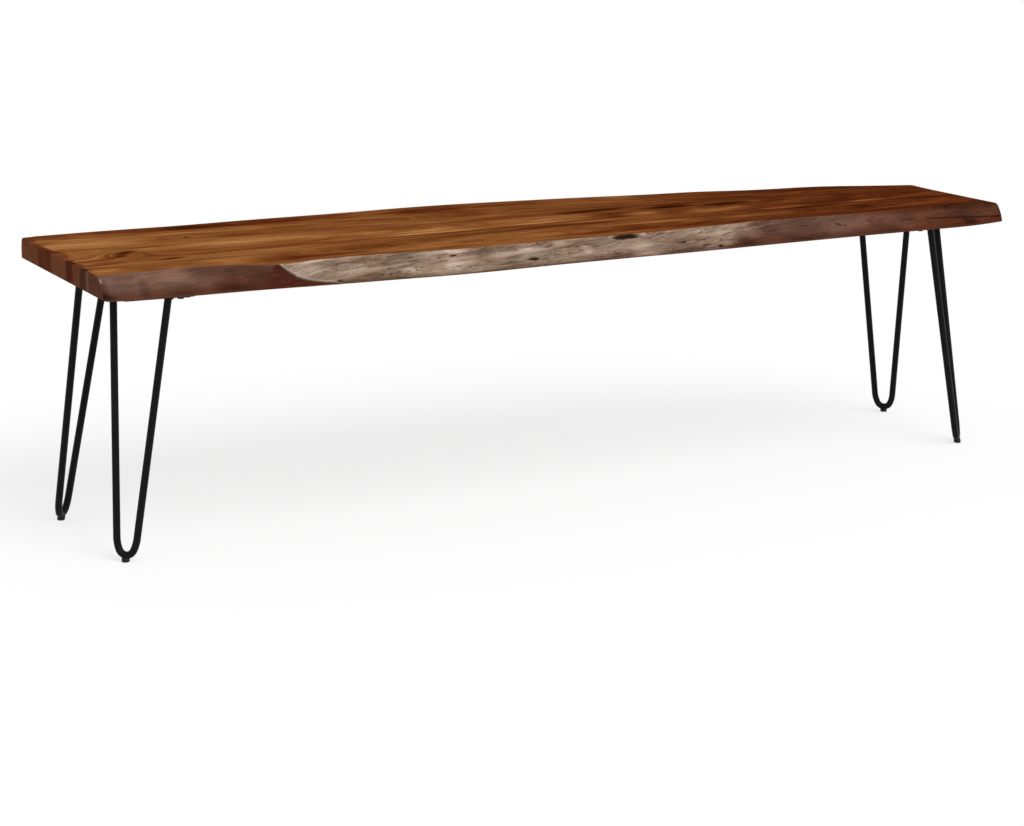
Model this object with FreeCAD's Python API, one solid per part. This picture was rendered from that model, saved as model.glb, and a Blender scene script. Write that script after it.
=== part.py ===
"""Long bench: three glued hardwood boards with a natural front edge, on four bent-rod hairpin legs.

The origin lies on the floor under the middle of the bench's outline. +X runs along the seat towards its
narrow end, +Y points to the back and +Z up. Lengths are in millimetres and angles in degrees.
"""
import FreeCAD, Part
import math
import os
from FreeCAD import Vector

# Seat: overall size, and how far the back of the narrow end falls short of the full length
SEAT_LENGTH = 1794.0
SEAT_DEPTH = 457.0
SEAT_HEIGHT = 457.0
SEAT_THICKNESS = 34.0
NARROW_END_SKEW = 18.0

# Seat outline, front and back: place along the length, then top edge, bottom edge and bulge of the face
# between them, for the front and for the back. Edges are shares of the depth, bulges of the thickness. The
# back's are stretched between the narrow end, which clears the plates, and the deepest part of the seat
EDGE_SHARES = (
    (-0.500, -0.376, -0.429, 0.06, 0.481, 0.486, 0.06),
    (-0.436, -0.345, -0.451, 0.14, 0.490, 0.478, 0.06),
    (-0.374, -0.340, -0.456, 0.12, 0.485, 0.458, 0.08),
    (-0.332, -0.393, -0.465, -0.06, 0.482, 0.458, 0.10),
    (-0.296, -0.373, -0.475, 0.12, 0.487, 0.465, 0.10),
    (-0.240, -0.364, -0.485, 0.18, 0.491, 0.463, 0.08),
    (-0.156, -0.393, -0.500, 0.16, 0.492, 0.461, 0.08),
    (-0.067, -0.386, -0.487, 0.16, 0.500, 0.472, 0.10),
    (0.022, -0.386, -0.480, 0.18, 0.474, 0.450, 0.10),
    (0.117, -0.373, -0.478, 0.20, 0.430, 0.399, 0.10),
    (0.207, -0.349, -0.468, 0.22, 0.380, 0.353, 0.10),
    (0.254, -0.356, -0.464, 0.22, 0.359, 0.329, 0.12),
    (0.299, -0.362, -0.461, 0.22, 0.318, 0.288, 0.12),
    (0.346, -0.364, -0.461, 0.22, 0.292, 0.264, 0.10),
    (0.397, -0.362, -0.461, 0.24, 0.268, 0.242, 0.10),
    (0.450, -0.362, -0.458, 0.24, 0.202, 0.178, 0.08),
    (0.500, -0.391, -0.426, 0.08, 0.139, 0.119, 0.06),
)

# Boards: widths at the wide and at the narrow end. The front board's count from the foremost line, and the
# rear board takes the rest
FRONT_BOARD_WIDE_END = 154.9
FRONT_BOARD_NARROW_END = 141.2
MIDDLE_BOARD_WIDE_END = 138.0
MIDDLE_BOARD_NARROW_END = 77.2

# Hairpin rods: one round bar each, cut flush under its plate. Its bend is tight at the tip, for as far as the
# tip angle to each side, and eases into the straight runs by a wider arc
ROD_DIAMETER = 12.0
ROD_TOP_SPREAD = 97.5
BEND_RADIUS = 14.0
BEND_TIP_ANGLE = 64.0
BEND_SIDE_RADIUS = 56.0
WELD_LEG = 3.0
LEG_LEAN_ANGLE = 9.56

# Stub feet under the bends
FOOT_DIAMETER = 13.0
FOOT_HEIGHT = 4.5
FOOT_WRAP = 2.5
FOOT_EDGE_ROUND = 1.0

# Leg plates: flat L of steel, its outer corner towards the seat's corner
PLATE_THICKNESS = 3.0
PLATE_ARM_LENGTH = 118.0
PLATE_ARM_WIDTH = 32.0
PLATE_CORNER_ROUND = 6.0
ROD_EDGE_DISTANCE = 6.0
CORNER_HOLE_INSET = 20.0
NEAR_HOLE_FROM_END = 22.0
NEAR_HOLE_INSET = 9.0
FAR_HOLE_FROM_END = 9.0
FAR_HOLE_INSET = 16.0

# Pan-head wood screws, short enough to stay inside the slope of the front edge
SCREW_DIAMETER = 4.5
SCREW_LENGTH = 16.0
SCREW_POINT_LENGTH = 5.0
SCREW_POINT_DIAMETER = 1.0
HEAD_DIAMETER = 12.0
HEAD_HEIGHT = 3.6
HEAD_ROUND = 2.0
RECESS_LENGTH = 5.0
RECESS_WIDTH = 1.1
RECESS_DEPTH = 1.6
PLATE_HOLE_CLEARANCE = 0.3
PILOT_CLEARANCE = 0.05

# Leg places: distance from the seat's ends, front row back from the foremost line, rear row forward from
# the back corner of the narrow end, and the gap between the plates of the two rows
FRONT_LEFT_INSET = 74.2
REAR_LEFT_INSET = 55.6
FRONT_RIGHT_INSET = 136.0
REAR_RIGHT_INSET = 121.9
FRONT_ROW_SETBACK = 77.3
REAR_ROW_SETBACK = 38.2
PLATE_GAP = 12.3

# Turn of each leg out of the X axis
FRONT_LEFT_SPLAY_ANGLE = 41.6
REAR_LEFT_SPLAY_ANGLE = 45.4
REAR_RIGHT_SPLAY_ANGLE = 35.0
FRONT_RIGHT_SPLAY_ANGLE = 45.0

# Name of each leg, its side along X and Y, its distance from the end and its turn
LEGS = (
    ("front_left", -1, -1, FRONT_LEFT_INSET, FRONT_LEFT_SPLAY_ANGLE),
    ("rear_left", -1, 1, REAR_LEFT_INSET, REAR_LEFT_SPLAY_ANGLE),
    ("rear_right", 1, 1, REAR_RIGHT_INSET, REAR_RIGHT_SPLAY_ANGLE),
    ("front_right", 1, -1, FRONT_RIGHT_INSET, FRONT_RIGHT_SPLAY_ANGLE),
)

# How far cutting shapes run past what they cut
OVERRUN = 20.0

UNDERSIDE = SEAT_HEIGHT - SEAT_THICKNESS
PLATE_BOTTOM = UNDERSIDE - PLATE_THICKNESS
ROD_RADIUS = ROD_DIAMETER / 2
UP = Vector(0, 0, 1)

# Across the seat: foremost line, rows of legs either side of the plates' gap, back corner of the narrow end
FOREMOST_Y = -SEAT_DEPTH / 2
FRONT_ROW_Y = FOREMOST_Y + FRONT_ROW_SETBACK
PLATE_REACH = PLATE_ARM_LENGTH - ROD_EDGE_DISTANCE - ROD_TOP_SPREAD / 2 / math.sqrt(2)
REAR_ROW_Y = FRONT_ROW_Y + 2 * PLATE_REACH + PLATE_GAP
NARROW_BACK_Y = REAR_ROW_Y + REAR_ROW_SETBACK


def edge_poles(x, top_y, bottom_y, bulge_y):
    """Three poles of the parabola across a natural edge at one place, run past both faces of the seat."""
    bottom = Vector(x, bottom_y, UNDERSIDE)
    top = Vector(x, top_y, SEAT_HEIGHT)
    pull = (bottom + top) / 2 + Vector(0, 2 * bulge_y, 0)
    low_share = -OVERRUN / SEAT_THICKNESS
    high_share = 1 - low_share

    def blossom(u, v):
        return bottom * (1 - u) * (1 - v) + pull * ((1 - u) * v + u * (1 - v)) + top * u * v

    return [blossom(low_share, low_share), blossom(low_share, high_share), blossom(high_share, high_share)]


def beyond(end, inner):
    """Row of the edge table carried straight on past an end of the seat."""
    step_share = OVERRUN / SEAT_LENGTH / abs(end[0] - inner[0])
    return tuple(e + (e - i) * step_share for e, i in zip(end, inner))


def front_edge_y(share):
    """Place across the seat of a share in the front columns of the edge table."""
    return share * SEAT_DEPTH


def back_edge_y(share):
    """Place across the seat of a share in the back columns: from the narrow end's corner to the deepest."""
    narrow_share = EDGE_SHARES[-1][5]
    deepest_share = max(row[4] for row in EDGE_SHARES)
    along_share = (share - narrow_share) / (deepest_share - narrow_share)
    return NARROW_BACK_Y + (SEAT_DEPTH / 2 - NARROW_BACK_Y) * along_share


def natural_side(first_column, outward, edge_y):
    """Block that reaches from one natural edge right through the seat."""
    first = beyond(EDGE_SHARES[0], EDGE_SHARES[1])
    last = beyond(EDGE_SHARES[-1], EDGE_SHARES[-2])
    rows = (first,) + EDGE_SHARES + (last,)
    poles = []
    for row in rows:
        top_share, bottom_share, bulge_share = row[first_column:first_column + 3]
        poles.append(edge_poles(row[0] * SEAT_LENGTH, edge_y(top_share), edge_y(bottom_share),
                                outward * bulge_share * SEAT_THICKNESS))
    curves = []
    for line in zip(*poles):
        curve = Part.BSplineCurve()
        curve.interpolate(Points=list(line), Parameters=[row[0] for row in rows])
        curves.append(curve)
    surface = Part.BSplineSurface()
    surface.buildFromPolesMultsKnots(
        list(zip(*[curve.getPoles() for curve in curves])), curve.getMultiplicities(), (3, 3),
        curve.getKnots(), (0, 1), False, False, curve.Degree, 2)
    return surface.toShape().extrude(Vector(0, -outward * 2 * SEAT_DEPTH, 0))


def end_x(side, y):
    """Place of the seat's end face at y: square at the wide end, slanted at the narrow one."""
    if side < 0:
        return -SEAT_LENGTH / 2
    front_y = front_edge_y(EDGE_SHARES[-1][2])
    back_y = back_edge_y(EDGE_SHARES[-1][4])
    return SEAT_LENGTH / 2 - NARROW_END_SKEW * (y - front_y) / (back_y - front_y)


def board_prism(front_line, back_line):
    """Block that cuts one board out of the blank; each line gives y at the wide and the narrow end."""
    corners = [
        (end_x(-1, front_line[0]), front_line[0]),
        (end_x(1, front_line[1]), front_line[1]),
        (end_x(1, back_line[1]), back_line[1]),
        (end_x(-1, back_line[0]), back_line[0]),
    ]
    points = [Vector(x, y, UNDERSIDE) for x, y in corners]
    face = Part.Face(Part.makePolygon(points + points[:1]))
    return face.extrude(UP * SEAT_THICKNESS)


def boards():
    """The seat's three boards, front to back, glued edge to edge."""
    front_joint = [FOREMOST_Y + FRONT_BOARD_WIDE_END, FOREMOST_Y + FRONT_BOARD_NARROW_END]
    rear_joint = [front_joint[0] + MIDDLE_BOARD_WIDE_END, front_joint[1] + MIDDLE_BOARD_NARROW_END]
    before = [-SEAT_DEPTH, -SEAT_DEPTH]
    behind = [SEAT_DEPTH, SEAT_DEPTH]
    return {
        "front_board": board_prism(before, front_joint).common(natural_side(1, -1, front_edge_y)),
        "middle_board": board_prism(front_joint, rear_joint),
        "rear_board": board_prism(rear_joint, behind).common(natural_side(4, 1, back_edge_y)),
    }


def bend_layout():
    """In the leg's plane: depth of the tip's centre, a side arc's centre, half angle and straight length."""
    low_point = (UNDERSIDE - FOOT_HEIGHT - ROD_RADIUS) / math.cos(math.radians(LEG_LEAN_ANGLE))
    tip_depth = low_point - BEND_RADIUS
    beyond_tip = BEND_SIDE_RADIUS - BEND_RADIUS
    side_across = -beyond_tip * math.sin(math.radians(BEND_TIP_ANGLE))
    side_depth = tip_depth - beyond_tip * math.cos(math.radians(BEND_TIP_ANGLE))
    away = ROD_TOP_SPREAD / 2 - side_across
    reach = math.hypot(away, side_depth)
    half_angle = math.atan2(away, side_depth) - math.asin(BEND_SIDE_RADIUS / reach)
    straight = math.sqrt(reach ** 2 - BEND_SIDE_RADIUS ** 2)
    return tip_depth, side_across, side_depth, half_angle, straight


def rod_disc(centre, along):
    """Round section of the rod."""
    return Part.Face(Part.Wire(Part.makeCircle(ROD_RADIUS, centre, along)))


def hairpin():
    """One rod: two straight runs, a bend of three arcs between them and weld beads under the plate."""
    tip_depth, side_across, side_depth, half_angle, straight = bend_layout()
    lean = math.radians(LEG_LEAN_ANGLE)
    tip_angle = math.radians(BEND_TIP_ANGLE)
    down = Vector(math.sin(lean), 0, -math.cos(lean))
    across = Vector(0, 1, 0)
    axis = across.cross(down)
    top = Vector(0, 0, UNDERSIDE)
    solids = []
    for side in (-1, 1):
        start = top + across * (side * ROD_TOP_SPREAD / 2)
        along = down * math.cos(half_angle) - across * (side * math.sin(half_angle))
        run = Part.makeCylinder(ROD_RADIUS, straight + OVERRUN, start - along * OVERRUN, along)
        solids.append(run)
        bead_start = start + along * (PLATE_THICKNESS / math.cos(lean) - WELD_LEG)
        bead = Part.makeCone(ROD_RADIUS + 2 * WELD_LEG, ROD_RADIUS, 2 * WELD_LEG, bead_start, along)
        solids.append(bead)
        side_centre = top + down * side_depth + across * (side * side_across)
        side_turn = 90 - math.degrees(half_angle) - BEND_TIP_ANGLE
        solids.append(rod_disc(start + along * straight, along).revolve(side_centre, axis * side, side_turn))
    tip_centre = top + down * tip_depth
    tip_start = tip_centre + (across * math.sin(tip_angle) + down * math.cos(tip_angle)) * BEND_RADIUS
    inward = down * math.sin(tip_angle) - across * math.cos(tip_angle)
    solids.append(rod_disc(tip_start, inward).revolve(tip_centre, axis, 2 * BEND_TIP_ANGLE))
    rod = solids[0].fuse(solids[1:]).removeSplitter()
    reach = ROD_TOP_SPREAD + 2 * OVERRUN
    above = Part.makeBox(2 * reach, 2 * reach, 2 * OVERRUN + PLATE_THICKNESS,
                         Vector(-reach, -reach, PLATE_BOTTOM))
    return rod.cut(above)


def foot_centre():
    """How far outward of the rods' tops the leg's axis meets the floor."""
    return UNDERSIDE * math.tan(math.radians(LEG_LEAN_ANGLE))


def foot(rod):
    """Round stub along the leg's axis, flat on the floor and hollowed to seat the rod."""
    lean = math.radians(LEG_LEAN_ANGLE)
    rise = Vector(-math.sin(lean), 0, math.cos(lean))
    centre = Vector(foot_centre(), 0, 0)
    length = FOOT_HEIGHT + FOOT_WRAP + OVERRUN
    stub = Part.makeCylinder(FOOT_DIAMETER / 2, length, centre - rise * OVERRUN, rise)
    reach = FOOT_DIAMETER + OVERRUN
    below = Part.makeBox(2 * reach, 2 * reach, 2 * OVERRUN, centre - Vector(reach, reach, 2 * OVERRUN))
    stub = stub.cut(below)
    ground_edge = [edge for edge in stub.Edges if abs(edge.BoundBox.ZMax) < FOOT_EDGE_ROUND / 2]
    return stub.makeFillet(FOOT_EDGE_ROUND, ground_edge).cut(rod)


def corner_reach():
    """Distance from the middle between the rods' tops to the plate's outer corner."""
    return ROD_TOP_SPREAD / 2 + ROD_EDGE_DISTANCE * math.sqrt(2)


def on_plate(along, inset, side):
    """Point on the plate: along one arm from the outer corner, and in from that arm's outer edge."""
    diagonal = math.sqrt(2)
    return Vector(corner_reach() - (along + inset) / diagonal, side * (along - inset) / diagonal, 0)


def hole_points():
    """Screw places of one plate: its corner, and a staggered pair near the end of each arm."""
    points = [on_plate(CORNER_HOLE_INSET, CORNER_HOLE_INSET, 1)]
    for side in (-1, 1):
        points.append(on_plate(PLATE_ARM_LENGTH - NEAR_HOLE_FROM_END, NEAR_HOLE_INSET, side))
        points.append(on_plate(PLATE_ARM_LENGTH - FAR_HOLE_FROM_END, FAR_HOLE_INSET, side))
    return points


def plate():
    """Flat L with rounded corners and five screw holes."""
    arm = PLATE_ARM_LENGTH
    width = PLATE_ARM_WIDTH
    corners = [(0, 0, 1), (arm, 0, 1), (arm, width, 1), (width, width, 1), (arm, width, -1), (arm, 0, -1)]
    points = [on_plate(*corner) + UP * PLATE_BOTTOM for corner in corners]
    body = Part.Face(Part.makePolygon(points + points[:1])).extrude(UP * PLATE_THICKNESS)
    upright = [edge for edge in body.Edges if abs(edge.tangentAt(edge.FirstParameter).z) > 0.5]
    body = body.makeFillet(PLATE_CORNER_ROUND, upright)
    hole_radius = SCREW_DIAMETER / 2 + PLATE_HOLE_CLEARANCE
    for point in hole_points():
        hole = Part.makeCylinder(hole_radius, PLATE_THICKNESS + 2 * OVERRUN,
                                 point + UP * (PLATE_BOTTOM - OVERRUN), UP)
        body = body.cut(hole)
    return body


def shank(point, clearance):
    """Shank and point of a screw driven up through the plate, as wide again as the clearance."""
    radius = SCREW_DIAMETER / 2 + clearance
    straight = SCREW_LENGTH - SCREW_POINT_LENGTH
    base = point + UP * PLATE_BOTTOM
    body = Part.makeCylinder(radius, straight, base, UP)
    tip = Part.makeCone(radius, SCREW_POINT_DIAMETER / 2 + clearance, SCREW_POINT_LENGTH + clearance,
                        base + UP * straight, UP)
    return body.fuse(tip)


def screw(point):
    """Pan-head screw with a cross recess, its head under the plate."""
    base = point + UP * (PLATE_BOTTOM - HEAD_HEIGHT)
    head = Part.makeCylinder(HEAD_DIAMETER / 2, HEAD_HEIGHT, base, UP)
    rim = [edge for edge in head.Edges if abs(edge.BoundBox.ZMax - base.z) < HEAD_ROUND / 2]
    head = head.makeFillet(HEAD_ROUND, rim)
    for length, width in ((RECESS_LENGTH, RECESS_WIDTH), (RECESS_WIDTH, RECESS_LENGTH)):
        slot = Part.makeBox(length, width, RECESS_DEPTH + OVERRUN,
                            base - Vector(length / 2, width / 2, OVERRUN))
        head = head.cut(slot)
    return head.fuse(shank(point, 0)).removeSplitter()


def leg_placement(leg):
    """Where a leg built about the Z axis, its foot towards +X, stands under the seat."""
    name, side_x, side_y, inset, splay = leg
    spot = Vector(side_x * (SEAT_LENGTH / 2 - inset), FRONT_ROW_Y if side_y < 0 else REAR_ROW_Y, 0)
    turn = math.atan2(side_y * math.sin(math.radians(splay)), side_x * math.cos(math.radians(splay)))
    return FreeCAD.Placement(spot, FreeCAD.Rotation(UP, math.degrees(turn)))


def placed(shape, placement):
    """Copy of a shape moved to its place for good."""
    return shape.transformed(placement.toMatrix(), True)


def centring(pieces):
    """Shift that puts the origin under the middle of the whole bench: the legs may stand past the seat."""
    boxes = [pieces[leg[0] + "_hairpin"].optimalBoundingBox() for leg in LEGS]
    low = min([-SEAT_LENGTH / 2] + [box.XMin for box in boxes])
    high = max([SEAT_LENGTH / 2] + [box.XMax for box in boxes])
    return FreeCAD.Placement(Vector(-(low + high) / 2, 0, 0), FreeCAD.Rotation())


def build():
    """Every piece of the bench by name."""
    pieces = boards()
    rod = hairpin()
    leg_pieces = {
        "hairpin": rod,
        "foot": foot(rod),
        "plate": plate(),
        "screws": Part.makeCompound([screw(point) for point in hole_points()]),
    }
    pilots = Part.makeCompound([shank(point, PILOT_CLEARANCE) for point in hole_points()])
    for leg in LEGS:
        placement = leg_placement(leg)
        for kind, shape in leg_pieces.items():
            pieces[leg[0] + "_" + kind] = placed(shape, placement)
        holes = placed(pilots, placement)
        for name in ("front_board", "middle_board", "rear_board"):
            pieces[name] = pieces[name].cut(holes)
    shift = centring(pieces)
    return {name: placed(shape, shift) for name, shape in pieces.items()}


def main():
    """Build the bench and write each piece to its own file."""
    os.makedirs("parts", exist_ok=True)
    for name, shape in build().items():
        shape.exportStep("parts/" + name + ".step")
        box = shape.BoundBox
        print(name, len(shape.Solids), "solids", round(shape.Volume), "mm3", shape.isValid(),
              [round(v, 1) for v in (box.XMin, box.YMin, box.ZMin, box.XMax, box.YMax, box.ZMax)])


main()
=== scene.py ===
"""Long bench: three glued hardwood boards with a natural front edge, on four black hairpin legs."""
import math
import bpy
import numpy as np
from mathutils import Matrix, Vector


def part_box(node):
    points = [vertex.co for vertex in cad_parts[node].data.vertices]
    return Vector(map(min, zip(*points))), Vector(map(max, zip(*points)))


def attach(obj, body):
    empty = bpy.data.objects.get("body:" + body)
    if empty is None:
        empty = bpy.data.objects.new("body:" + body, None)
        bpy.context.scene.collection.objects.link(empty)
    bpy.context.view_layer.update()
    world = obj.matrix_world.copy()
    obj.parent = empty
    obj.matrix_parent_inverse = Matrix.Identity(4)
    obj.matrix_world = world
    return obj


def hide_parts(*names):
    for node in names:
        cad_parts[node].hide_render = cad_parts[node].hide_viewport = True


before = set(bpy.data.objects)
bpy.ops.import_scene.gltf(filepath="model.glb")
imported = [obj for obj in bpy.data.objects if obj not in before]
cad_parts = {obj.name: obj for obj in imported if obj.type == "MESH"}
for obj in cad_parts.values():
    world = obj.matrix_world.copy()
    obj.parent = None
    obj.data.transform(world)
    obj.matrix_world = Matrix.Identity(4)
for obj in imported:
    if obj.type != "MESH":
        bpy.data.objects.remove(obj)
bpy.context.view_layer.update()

# Front board: the plank with the bark side left on in front. The bark is off, the skin under it is smooth and
# brown at the wide end, torn to pale, pitted sapwood over the middle, and brown again at the narrow end.
# It is planed flat on top, lacquered, and glued to the middle board behind.
SEAT_LENGTH = 1.794
SEAT_DEPTH = 0.457
NARROW_END_SKEW = 0.018
SEAT_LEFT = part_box("middle_board")[0].x
SEAT_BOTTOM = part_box("middle_board")[0].z
SEAT_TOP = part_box("middle_board")[1].z
SEAT_THICKNESS = SEAT_TOP - SEAT_BOTTOM
FOREMOST = -SEAT_DEPTH / 2

# Roundings: the arrises of the wide and of the narrow end, the corners seen from above at both ends, the
# arris under the natural edge, and the one above it at the wide end, over the middle and at the narrow end
END_ARRISES = (0.0012, 0.0028)
CORNER_ROUNDS = (0.010, 0.003)
BOTTOM_ROUNDING = 0.0016
TOP_ROUNDINGS = (0.0050, 0.0025, 0.0055)

# The flat ends close in rows: a narrow rim, then rows squashed to these shares of the thickness
CAP_RIM = 0.0006
CAP_SQUASH = (1.0, 0.75, 0.50, 0.25, 0.02)

# Rows along the board: where each stretch ends from the wide end, and its step. Points round the section:
# under the board, up the natural side and over the top
FRONT_SPANS = ((0.30, 0.0030), (1.26, 0.0018), (SEAT_LENGTH - CORNER_ROUNDS[0], 0.0032))
FRONT_POINTS = (8, 44, 36)

# Outline of the seat: share along the length from its middle, then top edge, bottom edge and bulge of the
# front, then of the back. Edges are shares of the depth, bulges of the thickness
EDGE_SHARES = np.array([
    (-0.500, -0.376, -0.429, 0.06, 0.481, 0.486, 0.06),
    (-0.436, -0.345, -0.451, 0.14, 0.490, 0.478, 0.06),
    (-0.374, -0.340, -0.456, 0.12, 0.485, 0.458, 0.08),
    (-0.332, -0.393, -0.465, -0.06, 0.482, 0.458, 0.10),
    (-0.296, -0.373, -0.475, 0.12, 0.487, 0.465, 0.10),
    (-0.240, -0.364, -0.485, 0.18, 0.491, 0.463, 0.08),
    (-0.156, -0.393, -0.500, 0.16, 0.492, 0.461, 0.08),
    (-0.067, -0.386, -0.487, 0.16, 0.500, 0.472, 0.10),
    (0.022, -0.386, -0.480, 0.18, 0.474, 0.450, 0.10),
    (0.117, -0.373, -0.478, 0.20, 0.430, 0.399, 0.10),
    (0.207, -0.349, -0.468, 0.22, 0.380, 0.353, 0.10),
    (0.254, -0.356, -0.464, 0.22, 0.359, 0.329, 0.12),
    (0.299, -0.362, -0.461, 0.22, 0.318, 0.288, 0.12),
    (0.346, -0.364, -0.461, 0.22, 0.292, 0.264, 0.10),
    (0.397, -0.362, -0.461, 0.24, 0.268, 0.242, 0.10),
    (0.450, -0.362, -0.458, 0.24, 0.202, 0.178, 0.08),
    (0.500, -0.391, -0.426, 0.08, 0.139, 0.119, 0.06),
])
FRONT_COLUMNS = (1, 2, 3)
BACK_COLUMNS = (4, 5, 6)

# Glue lines: distance from the foremost line at the wide and at the narrow end
FRONT_JOINT = (0.1549, 0.1412)
REAR_JOINT = (0.2929, 0.2184)


def outline(column, x):
    """Column of the edge table at x: the smooth cubic through its points.

    The second derivatives m solve the three-term system of a natural spline, zero at both ends."""
    at = EDGE_SHARES[:, 0]
    value = EDGE_SHARES[:, column]
    gap = np.diff(at)
    slope = np.diff(value) / gap
    system = np.eye(len(at))
    right = np.zeros(len(at))
    inner = np.arange(1, len(at) - 1)
    system[inner, inner - 1] = gap[:-1]
    system[inner, inner] = 2 * (gap[:-1] + gap[1:])
    system[inner, inner + 1] = gap[1:]
    right[inner] = 6 * np.diff(slope)
    m = np.linalg.solve(system, right)
    share = np.clip((x - SEAT_LEFT) / SEAT_LENGTH - 0.5, at[0], at[-1])
    i = np.clip(np.searchsorted(at, share) - 1, 0, len(at) - 2)
    a = (at[i + 1] - share) / gap[i]
    b = 1 - a
    bend = ((a ** 3 - a) * m[i] + (b ** 3 - b) * m[i + 1]) * gap[i] ** 2 / 6
    return a * value[i] + b * value[i + 1] + bend


def rise(low, high, value):
    """0 below low, 1 above high, and 3t² − 2t³ between."""
    t = np.clip((value - low) / (high - low), 0, 1)
    return t * t * (3 - 2 * t)


def spot(x, y, x0, y0, long, high, climb=0.0):
    """1 at (x0, y0), falling as exp(−d⁴) to 0 at the rim of an ellipse that leans by climb, y per x."""
    along = (x - x0) / long
    across = (y - y0 - climb * (x - x0)) / high
    return np.exp(-(along ** 2 + across ** 2) ** 2)


def lattice_noise(a, b, seed):
    """Smooth noise from −1 to 1: random values at whole numbers of a and b, blended by 3t² − 2t³."""
    table = np.random.default_rng(seed).uniform(-1, 1, (512, 512))
    ia = np.floor(a).astype(int)
    ib = np.floor(b).astype(int)
    fa = a - ia
    fb = b - ib
    fa = fa * fa * (3 - 2 * fa)
    fb = fb * fb * (3 - 2 * fb)

    def corner(i, j):
        return table[(ia + i) % 512, (ib + j) % 512]

    low = corner(0, 0) * (1 - fb) + corner(0, 1) * fb
    high = corner(1, 0) * (1 - fb) + corner(1, 1) * fb
    return low * (1 - fa) + high * fa


def end_of_seat(y):
    """x of the narrow end's face at y: it slants back by the skew over the depth of that end."""
    front = EDGE_SHARES[-1, FRONT_COLUMNS[1]] * SEAT_DEPTH
    back = EDGE_SHARES[-1, BACK_COLUMNS[0]] * SEAT_DEPTH
    return SEAT_LEFT + SEAT_LENGTH - NARROW_END_SKEW * (y - front) / (back - front)


def stations(spans):
    """Rows along a board: share of the way, push outward, inset and turn of the end arris, setback of the
    corners, and how far the row is squashed to half height.

    Spans give where each stretch ends and its step. At angle a of the quarter round the push is r·sin a, the
    inset r·(1 − cos a) and the turn 1 − cos a. The last rows draw in by the rim and then squash, flat on the
    end. Seen from above the corners are round too: d from the end they stand back by R − √(R² − (R − d)²)."""
    angle = np.radians(np.linspace(0, 90, 7))[1:]
    flat = np.ones(len(CAP_SQUASH))
    push = np.append(np.sin(angle), flat)
    turn = np.append(1 - np.cos(angle), flat)
    rim = np.append(angle * 0, flat * CAP_RIM)
    squash = np.append(angle * 0 + 1, CAP_SQUASH)
    near = CORNER_ROUNDS[0] * (1 - np.cos(np.linspace(0, np.pi / 2, 9)))
    runs = [near[:-1]]
    start = CORNER_ROUNDS[0]
    for end, step in spans:
        runs.append(np.arange(start, end, step))
        start = end
    inner = np.concatenate(runs + [SEAT_LENGTH - near[::-1]]) / SEAT_LENGTH
    ends = np.zeros(len(push))
    share = np.concatenate([ends, inner, ends + 1])
    push = np.concatenate([-push[::-1] * END_ARRISES[0], inner * 0, push * END_ARRISES[1]])
    inset = np.concatenate([(turn * END_ARRISES[0] + rim)[::-1], inner * 0, turn * END_ARRISES[1] + rim])
    turn = np.concatenate([turn[::-1], inner * 0, turn])
    squash = np.concatenate([squash[::-1], inner * 0 + 1, squash])
    setback = np.zeros(len(share))
    for radius, from_end in zip(CORNER_ROUNDS, (share * SEAT_LENGTH, (1 - share) * SEAT_LENGTH)):
        short = np.maximum(radius - from_end, 0)
        setback += radius - np.sqrt(radius ** 2 - short ** 2)
    return [row[:, None] for row in (share, push, inset, turn, setback, squash)]


def flattened(y, z, squash):
    """Flat ends drawn in row by row: z to mid thickness by the squash, y a third as much to the mean."""
    middle = (SEAT_BOTTOM + SEAT_TOP) / 2
    inward = (1 - squash) / 3
    return y + (y.mean(axis=1, keepdims=True) - y) * inward, middle + (z - middle) * squash


def along_seat(share, push, y):
    """x of each point: its share of the way between the two end arrises, then the push round them."""
    start = SEAT_LEFT + END_ARRISES[0]
    return start + share * (end_of_seat(y) - END_ARRISES[1] - start) + push


def glue_face(share, inset, line):
    """Flat side of a board from bottom to top, on a straight glue line: three points in y and z."""
    y = FOREMOST + line[0] + share * (line[1] - line[0]) + np.zeros(3)
    z = SEAT_BOTTOM + inset + np.array([0, 0.5, 1]) * (SEAT_THICKNESS - 2 * inset)
    return y, z


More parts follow.
